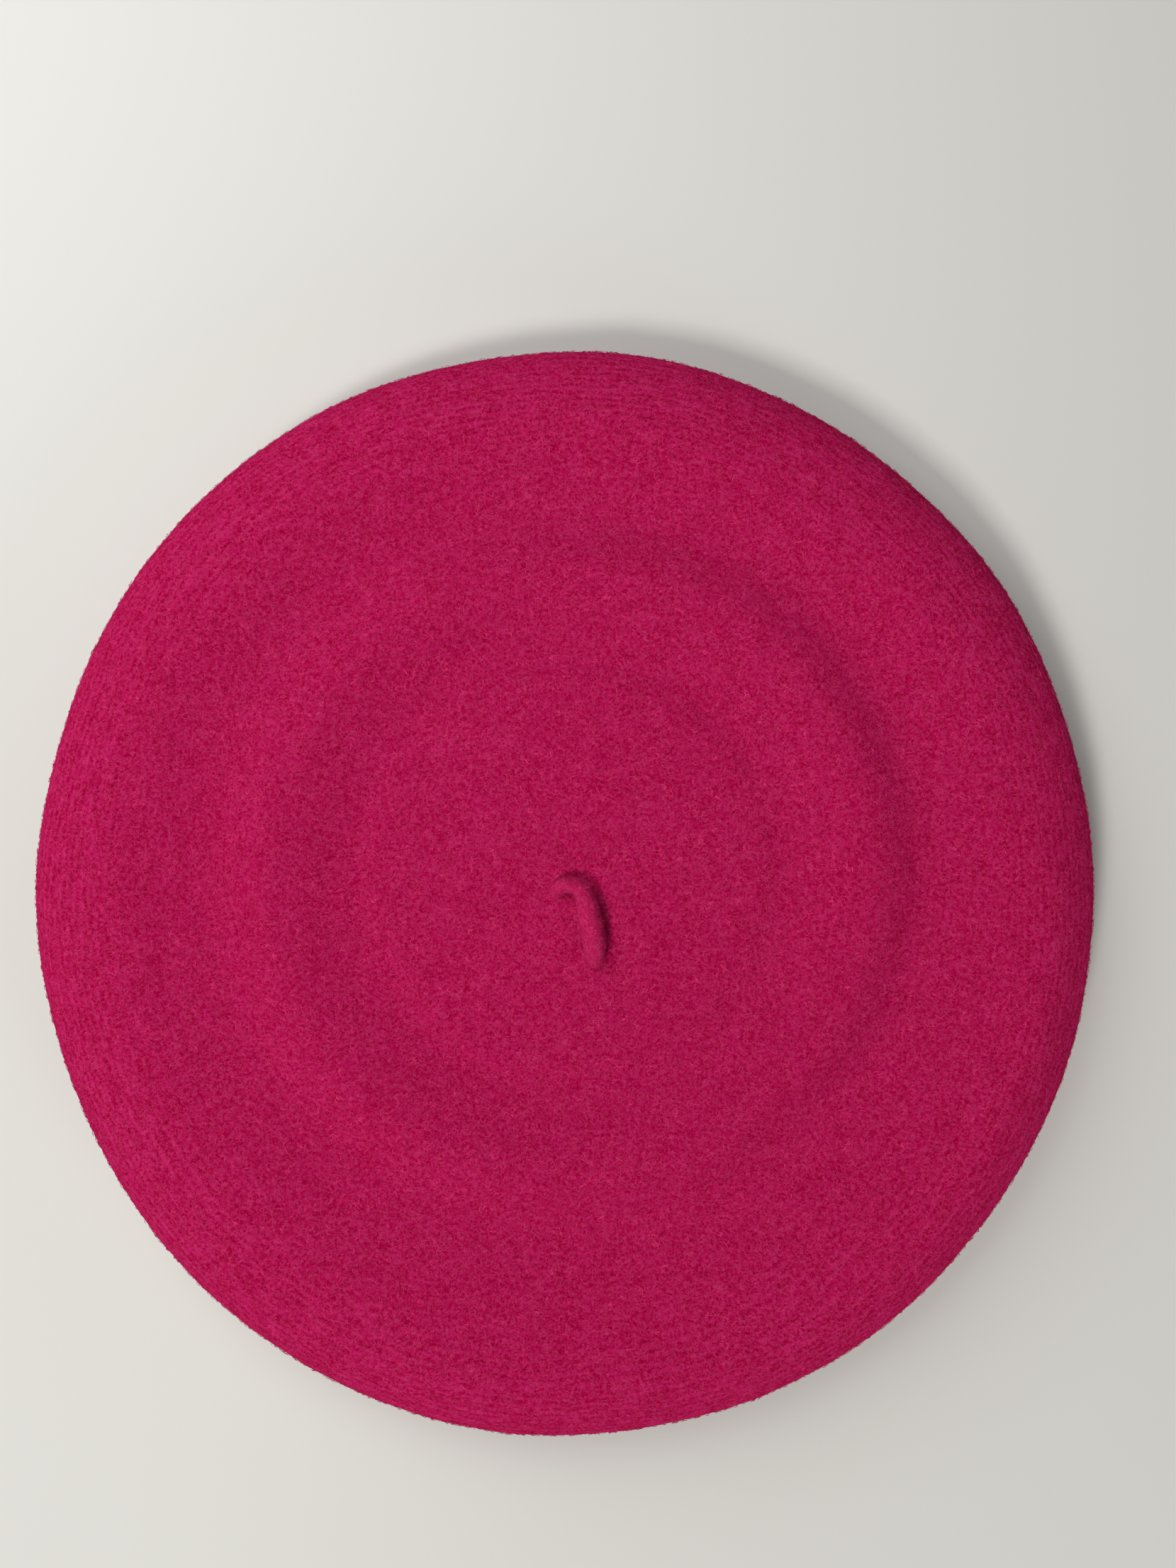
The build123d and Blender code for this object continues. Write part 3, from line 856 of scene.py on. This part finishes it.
def leather_finish():
    """Tan sheepskin: small soft creases round pebbles, painted darker in the creases as painted shade,
    with a little shine.
    """
    material, tree, shader = new_material(
        "tan_leather", Roughness=0.46, Coat_Weight=0.12, Coat_Roughness=0.35
    )
    shader.inputs["Specular IOR Level"].default_value = 0.42
    place = millimetres(tree)
    bend = add_node(tree, "ShaderNodeTexNoise", {"Vector": place, "Scale": 1.1, "Detail": 2.0})
    bent = push_aside(tree, place, bend, 0.8)
    fine, coarse = {"Vector": bent, "Scale": 3.4}, {"Vector": bent, "Scale": 1.25}
    pebbles = add_node(tree, "ShaderNodeTexVoronoi", fine, feature="SMOOTH_F1")
    crease = add_node(tree, "ShaderNodeTexVoronoi", coarse, feature="DISTANCE_TO_EDGE")
    pores = noise_node(tree, place, 5.0, 2.0)
    soft_crease = math_node(tree, "MULTIPLY", crease.outputs["Distance"], 3.0, clamp=True)
    height = math_node(tree, "MULTIPLY_ADD", pebbles.outputs["Distance"], -0.9, soft_crease)
    height = math_node(tree, "MULTIPLY_ADD", pores, 0.25, height)
    patches = noise_node(tree, place, 0.05, 3.0)
    tans = ((0.3, (0.27, 0.125, 0.052)), (0.55, (0.345, 0.175, 0.079)), (0.8, (0.41, 0.225, 0.11)))
    colour = ramp_node(tree, patches, *tans)
    # Painted shade: the colour darkens where the bump's height is low, in the creases.
    crease_shade = math_node(tree, "MULTIPLY_ADD", height, -0.42, 0.55, clamp=True)
    colour = mix_colour(tree, crease_shade, colour, (0.16, 0.065, 0.026, 1))
    cross = attribute_value(tree, "cross")
    worn = math_node(tree, "MULTIPLY_ADD", math_node(tree, "GREATER_THAN", cross, 21.0), 0.35, 0)
    colour = mix_colour(tree, worn, colour, (0.13, 0.05, 0.02, 1))
    tree.links.new(colour, shader.inputs["Base Color"])
    tree.links.new(math_node(tree, "MULTIPLY_ADD", patches, 0.22, 0.35), shader.inputs["Roughness"])
    tree.links.new(bump_node(tree, height, 0.07 * MM, 0.6), shader.inputs["Normal"])
    return material


CREAM, DEEP_CREAM = (0.80, 0.75, 0.64), (0.60, 0.54, 0.43)


def label_finish(name, width, length):
    """Cream woven satin with a thin raspberry frame near its edge and nothing written in it."""
    material, tree, shader = new_material(name, Roughness=0.42, Sheen_Weight=0.15, Anisotropic=0.5)
    run, cross = attribute_value(tree, "run"), attribute_value(tree, "cross")
    weft = math_node(tree, "SINE", math_node(tree, "MULTIPLY", run, math.tau / 0.36))
    warp = math_node(tree, "SINE", math_node(tree, "MULTIPLY", cross, math.tau / 0.22))
    height = math_node(tree, "MULTIPLY_ADD", warp, 0.45, weft)
    uneven = noise_node(tree, millimetres(tree), 0.8, 3.0)
    ends = math_node(tree, "MINIMUM", run, math_node(tree, "SUBTRACT", length, run))
    sides = math_node(tree, "MINIMUM", cross, math_node(tree, "SUBTRACT", width, cross))
    inset = math_node(tree, "MINIMUM", ends, sides)
    near_frame = math_node(tree, "ABSOLUTE", math_node(tree, "SUBTRACT", inset, 2.0))
    frame_line = math_node(tree, "LESS_THAN", near_frame, 0.28)
    # Painted shade and light from the weave's height, mixed with uneven tone from the noise, between
    # deep cream and cream.
    weave_shade_and_tone = math_node(tree, "MULTIPLY_ADD", height, 0.12, uneven)
    cream = mix_colour(tree, weave_shade_and_tone, (*DEEP_CREAM, 1), (*CREAM, 1))
    colour = mix_colour(tree, math_node(tree, "MULTIPLY", frame_line, 0.85), cream, (*WOOL_DARK, 1))
    tree.links.new(colour, shader.inputs["Base Color"])
    tree.links.new(bump_node(tree, height, 0.035 * MM, 0.7), shader.inputs["Normal"])
    return material


tan_leather = leather_finish()
cotton_tape = ribbed_cloth(
    "cotton_tape", (0.72, 0.65, 0.52), (0.42, 0.36, 0.26), 0.55, 0.12,
    Roughness=0.85, Sheen_Weight=0.2,
)
bow_ribbon = ribbed_cloth(
    "bow_ribbon", (0.30, 0.006, 0.045), (0.10, 0.001, 0.014), 0.62, 0.10,
    Roughness=0.5, Sheen_Weight=0.25,
)
print("strip finishes ready")


# %% [markdown]
# ## Sweatband and the tape behind it
#
# The band is a strip of thin leather with its ends butted at the back. Its lowest six millimetres
# stand upright between the felt's turned-up lip and the head, sewn through, and above that its free
# edge leans in. A real band never stays a perfect cone: its edge waves a little, and each stitch
# pulls a small dent into it.

# %% Places on the band
leather = 1.0
opening_radius = band_high.x - leather
band_base, band_top = band_low.z, band_high.z
wall_top = 6.4
band_lean = 3.5
join_gap = 0.6
row_height = 3.6
row_count = 110
stitch_turn = math.tau / row_count
back = -math.pi / 2
lean = math.atan2(band_lean, band_top - wall_top)


def band_radius(height):
    """Radius of the band's inner face at a height."""
    return opening_radius - band_lean * max(0, height - wall_top) / (band_top - wall_top)


def round_about(turn, radius, height):
    """A place at an angle round the hat."""
    return (radius * math.cos(turn), radius * math.sin(turn), height)


def round_way(turn):
    """The way along the opening's edge."""
    return (-math.sin(turn), math.cos(turn), 0)


# %% Leather band
end_turn = join_gap / 2 / opening_radius
band_turns = back + np.linspace(end_turn, math.tau - end_turn, 10 * row_count + 1)
wall = np.linspace(band_base + 0.25, wall_top, 11)
leaning = np.linspace(wall_top, band_top - 0.2, 22)[1:]
band_grid = []
for turn in band_turns:
    row = []
    edge_wave = 0.34 * noise.noise(round_about(turn, 3, 4.0))
    edge_wave += 0.2 * noise.noise(round_about(turn, 9, 8.0))
    between = abs(((turn - back) / stitch_turn) % 1 - 0.5) * 2
    for height in (*wall, *leaning):
        up = max(0, height - wall_top) / (band_top - wall_top)
        bend = 0.14 * mound(height - wall_top, 1.6)
        dent = 0.13 * mound(height - row_height, 0.8) * (1 - between) ** 2
        radius = band_radius(height) + leather / 2 - bend + dent - 0.55 * edge_wave * up * up
        row.append(round_about(turn, radius, height - 0.35 * abs(edge_wave) * up * up))
    band_grid.append(row)
sweatband = strip("sweatband_leather", np.array(band_grid), leather, tan_leather)
settle(sweatband, "hat", "sweatband")
declare_sheet(sweatband, 549.2, 21.8)

# %% Cotton tape
tape_radius = opening_radius + 1.36
tape_turns = np.linspace(0, math.tau, 720, endpoint=False)
tape_heights = np.linspace(1.0, 6.0, 12)
tape_grid = [[round_about(turn, tape_radius, height) for height in tape_heights] for turn in tape_turns]
stay_tape = strip("stay_tape_cotton", np.array(tape_grid), 0.56, cotton_tape, closed=True)
settle(stay_tape, "hat", "stay_tape")


# %% [markdown]
# ## The bow at the back
#
# The bow covers the butted ends of the band. It is three ribbons: one ring that makes both loops,
# one wrap that pinches the ring in the middle, and two tails that come out below. The loops are
# narrow at the wrap and full at their ends, and the wrap has the soft creases of a tied ribbon.

# %% Places over the band's back
bow_height = band_top - 6.0
bow_radius = band_radius(bow_height)
ribbon_thick = 0.4


def over_band(sideways, up, off):
    """A place near the back of the band: sideways round it, up its slope, and off its face."""
    height = bow_height + up * math.cos(lean)
    turn = back + sideways / bow_radius
    return round_about(turn, band_radius(height) - off * math.cos(lean), height - off * math.sin(lean))


def swelled(value, power):
    """A sine or cosine with its curve made squarer, for a ring that is boxier than an ellipse."""
    return math.copysign(abs(value) ** power, value)


# %% Loops
loop_reach = 14.6
loop_rows = []
for turn in math.pi / 2 + np.linspace(0, math.tau, 180, endpoint=False):
    sideways = loop_reach * swelled(math.cos(turn), 0.72)
    full = ease(abs(sideways), 1.5, 9.0)
    off = 2.3 + (0.42 + 0.72 * full) * swelled(math.sin(turn), 0.8)
    half = 2.15 + 0.78 * full
    row = []
    for step in np.linspace(-1, 1, 11):
        crease = 0.16 * (1 - full) * math.cos(step * 9)
        ripple = 0.10 * full * math.sin(step * 3 + sideways * 0.5)
        front = 1 if math.sin(turn) > 0 else -0.6
        row.append(over_band(sideways, half * step, off + front * (crease + ripple)))
    loop_rows.append(row)
bow_loops = strip("bow_loops", np.array(loop_rows), ribbon_thick, bow_ribbon, closed=True)
settle(bow_loops, "hat", "back_bow")

# %% Wrap and tails
wrap_rows = []
for turn in -math.pi / 2 + np.linspace(0, math.tau, 120, endpoint=False):
    up = 3.25 * swelled(math.cos(turn), 0.55)
    off = 2.12 + 1.62 * swelled(math.sin(turn), 0.6)
    front = ease(math.sin(turn), -0.2, 0.8)
    row = []
    for step in np.linspace(-1, 1, 13):
        crease = 0.13 * math.sin(step * 7 + 0.8 * math.sin(up)) * front
        sideways = 2.4 * step * (1 - 0.07 * front * math.cos(up * 0.5))
        rounded = off + crease - 0.10 * step * step * front
        row.append(over_band(sideways, up * (1 - 0.03 * step * step), rounded))
    wrap_rows.append(row)
bow_wrap = strip("bow_wrap", np.array(wrap_rows), ribbon_thick, bow_ribbon, closed=True)
settle(bow_wrap, "hat", "back_bow_knot")

tail_turn = math.radians(50)
tail_length = 6.08
tail_side, tail_down = math.sin(tail_turn), math.cos(tail_turn)
for side, title in ((-1, "left"), (1, "right")):
    tail_rows = []
    for down in np.linspace(0, 1, 22):
        row = []
        for step in np.linspace(-1, 1, 12):
            notch = 0.75 * (1 - abs(step)) * ease(down, 0.5, 1.0)
            reach_down = tail_length * down - notch
            across = 2.25 * step * (0.86 + 0.14 * ease(down, 0, 0.5))
            sideways = side * 4.75 + across * tail_down + side * reach_down * tail_side
            up = -3.0 + side * across * tail_side - reach_down * tail_down
            curl = 0.28 * math.sin(down * 3.0) + 0.12 * step * step
            curl += 0.08 * math.sin(step * 4 + down * 2)
            row.append(over_band(sideways, up, 0.72 + curl))
        tail_rows.append(row)
    tail = strip(f"bow_tail_{title}", np.array(tail_rows), ribbon_thick, bow_ribbon)
    settle(tail, "hat", "back_bow")


# %% [markdown]
# ## Labels
#
# Three woven labels: the maker's under the crown, sewn along its two ends, a folded size tab at the
# band's free edge, and a care label inside the rim. They are left blank; the maker's and the care
# label have a woven frame.

# %% Maker's label
maker_low, maker_high = box_of("maker_label")
maker_z = (maker_low.z + maker_high.z) / 2
hem = 0.15
maker_grid = []
for x in np.linspace(maker_low.x + hem, maker_high.x - hem, 84):
    row = []
    for y in np.linspace(maker_low.y + hem, maker_high.y - hem, 44):
        free = 1 - (x / maker_high.x) ** 2
        sag = -0.55 * free * (0.6 + 0.4 * noise.noise((x * 0.05, y * 0.08, 2.0)))
        ripple = 0.10 * math.sin(y * 0.9 + x * 0.12) * free
        row.append((x, y, maker_z + sag + ripple))
    maker_grid.append(row)
maker_satin = label_finish("maker_satin", 24 - 2 * hem, 52 - 2 * hem)
maker_label = strip("maker_label_woven", np.array(maker_grid), 0.42, maker_satin)
settle(maker_label, "hat", "maker_label")
declare_sheet(maker_label, 52, 24)

# %% Folded size tab
tab_turn = back - math.radians(40)
tab_outwards = np.array(round_about(tab_turn, 1, 0))
tab_sideways = np.array(round_way(tab_turn))
tab_low, tab_high = box_of("size_tab")
tab_off = 1.1  # middle of the tab off the band's free edge
tab_middle = tab_outwards * (opening_radius - band_lean - tab_off)
tab_middle[2] = (tab_low.z + tab_high.z) / 2
tab_half = (tab_high.z - tab_low.z) / 2
tab_rows = []
for turn in np.linspace(0, math.tau, 96, endpoint=False):
    up = (tab_half - 0.2) * swelled(math.sin(turn), 0.6)
    off = 0.33 * swelled(math.cos(turn), 0.35)
    row = []
    for step in np.linspace(-1, 1, 20):
        bow_out = -0.25 * math.cos(up / tab_half * 1.4) * (1 - step * step)
        place = tab_middle + tab_outwards * (off + 0.3 * bow_out) + tab_sideways * 5.9 * step
        row.append(place + (0, 0, up))
    tab_rows.append(row)
tab_satin = ribbed_cloth("tab_satin", CREAM, DEEP_CREAM, 0.36, 0.04, Roughness=0.45, Sheen_Weight=0.15)
size_tab = strip("size_tab_woven", np.array(tab_rows), 0.33, tab_satin, closed=True)
settle(size_tab, "size_tab", "size_tab")
declare_sheet(size_tab, 26.6, 12)

# %% Care label
care_turn = back + math.radians(150)
care_outwards = np.array(round_about(care_turn, 1, 0))
care_sideways = np.array(round_way(care_turn))
care_start, care_end = 91.95, 115.8
care_half = 10.85
care_height = 2.8
care_rows = []
for out in np.linspace(care_start, care_end, 40):
    free = ease(out, 94, 114)
    row = []
    for step in np.linspace(-1, 1, 36):
        curl = 0.25 * free * (1 + math.sin(step * 2.4 + out * 0.2))
        row.append(care_outwards * out + care_sideways * care_half * step + (0, 0, care_height + curl))
    care_rows.append(row)
care_satin = label_finish("care_satin", 2 * care_half, care_end - care_start)
care_label = strip("care_label_woven", np.array(care_rows), 0.34, care_satin)
settle(care_label, "care_label", "care_label")
declare_sheet(care_label, 24.1, 22)


# %% [markdown]
# ## Stitches
#
# A stitch is a short loop of thread: it lies on the face that you see, goes down through the layers
# and comes back behind them. The band's row goes all the way round the opening, three stitches hold
# its butted ends, six tack the knot under the crown and twelve hold the maker's label. One node
# tree sews them all: it takes loose points, each with the way its stitch lies and the way out of
# the cloth, and puts a loop on each with a little turn of its own.

# %% Sewing tree
sew_tree, sew_in, sew_out = node_tree(
    "sew", Thread=("Object", None), Loose=("Float", 0.06), Seed=("Int", 1), Finish=("Material", None)
)
lies_along, faces_out = (
    add_node(sew_tree, "GeometryNodeInputNamedAttribute", {"Name": title}, data_type="FLOAT_VECTOR")
    for title in ("lies_along", "faces_out")
)
laid = add_node(
    sew_tree, "FunctionNodeAlignRotationToVector", {"Vector": lies_along.outputs["Attribute"]}, axis="X"
)
stood = add_node(
    sew_tree,
    "FunctionNodeAlignRotationToVector",
    {"Rotation": laid.outputs["Rotation"], "Vector": faces_out.outputs["Attribute"]},
    axis="Z",
    pivot_axis="X",
)
own_turn = add_node(sew_tree, "FunctionNodeRandomValue", {"Seed": sew_in["Seed"]}, data_type="FLOAT")
sew_tree.links.new(math_node(sew_tree, "MULTIPLY", sew_in["Loose"], -1), own_turn.inputs[2])
sew_tree.links.new(sew_in["Loose"], own_turn.inputs[3])
slight = add_node(sew_tree, "ShaderNodeCombineXYZ", {"Z": own_turn.outputs[1]})
settled = add_node(
    sew_tree,
    "FunctionNodeRotateRotation",
    {"Rotation": stood.outputs["Rotation"], "Rotate By": slight.outputs[0]},
    rotation_space="LOCAL",
)
thread_info = add_node(sew_tree, "GeometryNodeObjectInfo", {"Object": sew_in["Thread"]})
sewn = add_node(
    sew_tree,
    "GeometryNodeInstanceOnPoints",
    {
        "Points": sew_in["Geometry"],
        "Instance": thread_info.outputs["Geometry"],
        "Rotation": settled.outputs["Rotation"],
    },
)
sewn_mesh = add_node(sew_tree, "GeometryNodeRealizeInstances", {"Geometry": sewn.outputs["Instances"]})
sewn_finish = add_node(
    sew_tree,
    "GeometryNodeSetMaterial",
    {"Geometry": sewn_mesh.outputs["Geometry"], "Material": sew_in["Finish"]},
)
sew_tree.links.new(sewn_finish.outputs["Geometry"], sew_out)
print("sewing tree has", len(sew_tree.nodes), "nodes")


# %% Thread and stitch places
def thread_finish():
    """Twisted sewing thread, a little darker than the wool."""
    material, tree, shader = new_material("sewing_thread", Roughness=0.55, Sheen_Weight=0.2)
    twist = noise_node(tree, millimetres(tree), 3.2, 2.0)
    # Painted shade: the colour follows the bump's height, darker where it is low, between the twists.
    colour = ramp_node(tree, twist, (0.35, (0.10, 0.001, 0.014)), (0.65, (0.27, 0.006, 0.04)))
    tree.links.new(colour, shader.inputs["Base Color"])
    tree.links.new(bump_node(tree, twist, 0.08 * MM, 0.8), shader.inputs["Normal"])
    return material


thread_radius = 0.2
stitch_span = 3.2


def thread_loop(name, span, layers, proud, sides=6):
    """A closed loop of thread. Its front lies on Z = 0 along X, and the rest is behind."""
    across, deep = span / 2 - thread_radius, layers + 2 * proud - 2 * thread_radius
    front = proud - thread_radius
    path = [
        (-across, front - deep * 0.5),
        (-across, front - 0.45),
        (-across * 0.72, front - 0.06),
        (0, front + 0.02),
        (across * 0.72, front - 0.06),
        (across, front - 0.45),
        (across, front - deep * 0.5),
        (across * 0.8, front - deep + 0.08),
        (0, front - deep),
        (-across * 0.8, front - deep + 0.08),
    ]
    points, faces = [], []
    for number, (x, z) in enumerate(path):
        before, after = path[number - 1], path[(number + 1) % len(path)]
        heading = math.atan2(after[1] - before[1], after[0] - before[0])
        for turn in np.arange(sides) * math.tau / sides:
            out, along_y = thread_radius * math.cos(turn), thread_radius * math.sin(turn)
            points.append((x - out * math.sin(heading), along_y, z + out * math.cos(heading)))
    for number in range(len(path)):
        faces += join_rings(number * sides, sides, (number + 1) % len(path) * sides, sides)
    return new_piece(name, np.array(points), faces)


def sew(name, node, places, span, layers, proud, seed):
    """One row of stitches. Each place is a point in millimetres, the way it lies, and the way out."""
    loop = thread_loop(name + "_loop", span, layers, proud)
    dots = new_piece(name + "_places", [place for place, _, _ in places], [])
    for title, column in (("lies_along", 1), ("faces_out", 2)):
        stored_way = dots.data.attributes.new(title, "FLOAT_VECTOR", "POINT")
        ways = np.array([row[column] for row in places], dtype=np.float32)
        stored_way.data.foreach_set("vector", ways.ravel())
    piece = grow(dots, sew_tree, name, "hat", "thread", Thread=loop, Finish=sewing_thread, Seed=seed)
    piece.data.polygons.foreach_set("use_smooth", [True] * len(piece.data.polygons))
    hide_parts(node)
    for spare in (dots, loop):
        bpy.data.objects.remove(spare)


# %% Rows of stitches
sewing_thread = thread_finish()
downwards = (0, 0, -1)
row_turns = [back + stitch_turn * (number + 0.5) for number in range(row_count)]
band_row = [
    (round_about(turn, opening_radius, row_height), round_way(turn), round_about(turn, -1, 0))
    for turn in row_turns
]
sew("band_row", "sweatband_stitches", band_row, stitch_span, 3.95, 0.12, 31)

join_pitch = 2.6
slope_out = (0, math.cos(lean), -math.sin(lean))
join_heights = [band_top - join_pitch * number for number in (1, 2, 3)]
join_row = [((0, -band_radius(height), height), (1, 0, 0), slope_out) for height in join_heights]
sew("join_row", "sweatband_join_stitches", join_row, stitch_span, leather, 0.2, 32)

tack_count, tack_radius = 6, 4.8
knot_underside = 20.6
tacks = []
for number in range(tack_count):
    turn = math.tau * number / tack_count
    x, y, z = round_about(turn, tack_radius, knot_underside)
    tacks.append(((x + root_x, y + root_y, z), round_way(turn), downwards))
sew("tacks", "stem_tack_stitches", tacks, stitch_span, 2.7, 0.2, 33)

end_stitches = 6
label_pitch = 24 / end_stitches
label_end = 25.2
label_ys = [maker_low.y + label_pitch * (number + 0.5) for number in range(end_stitches)]
label_places = [
    ((side * label_end, y, maker_low.z), (0, 1, 0), downwards) for side in (-1, 1) for y in label_ys
]
sew("label_rows", "maker_label_stitches", label_places, stitch_span, 1.65, 0.2, 34)


# %% [markdown]
# ## Studio
#
# One soft light from the lower left models the low rings of the crown, a wide near one at the upper
# left keeps the shadows open and makes the light fall off across the hat, and a weak one on the
# right catches the nap on the near rim. Wool this saturated goes pink under a filmic view, so the
# picture uses the plain Standard one.

# %% Lights and table
def plain_light(name, place, aim, size, power, colour=(1, 1, 1)):
    """A square soft light at a place, turned to its aim."""
    data = bpy.data.lights.new(name, "AREA")
    data.shape = "SQUARE"
    data.size = size
    data.energy = power
    data.color = colour
    light = bpy.data.objects.new(name, data)
    light.location = place
    light.rotation_euler = (Vector(aim) - Vector(place)).to_track_quat("-Z", "Y").to_euler()
    bpy.context.collection.objects.link(light)
    return light


plain_light("key_from_lower_left", (-0.70, -1.02, 1.50), (0, 0, 0), 0.4, 24, (1, 0.98, 0.95))
plain_light("near_upper_left", (-0.38, 0.42, 0.55), (-0.06, 0.06, 0), 0.6, 4.6)
plain_light("low_right", (0.75, -0.85, 0.40), (0.10, -0.11, 0), 0.4, 3.0)
bpy.context.scene.view_settings.view_transform = "Standard"
world = bpy.data.worlds.new("soft_room")
bpy.context.scene.world = world
world.use_nodes = True
world.node_tree.nodes["Background"].inputs["Color"].default_value = (0.95, 0.97, 1, 1)
world.node_tree.nodes["Background"].inputs["Strength"].default_value = 0.17
bpy.ops.mesh.primitive_plane_add(size=4)  # metres
table = bpy.context.active_object
table.name = "pale_table"
table.location.z = -0.4 * MM
table_paint, _, _ = new_material("table_paint", Base_Color=(0.58, 0.57, 0.54, 1), Roughness=0.6)
table.data.materials.append(table_paint)

settle(felt_shell, "hat", "felt_body")
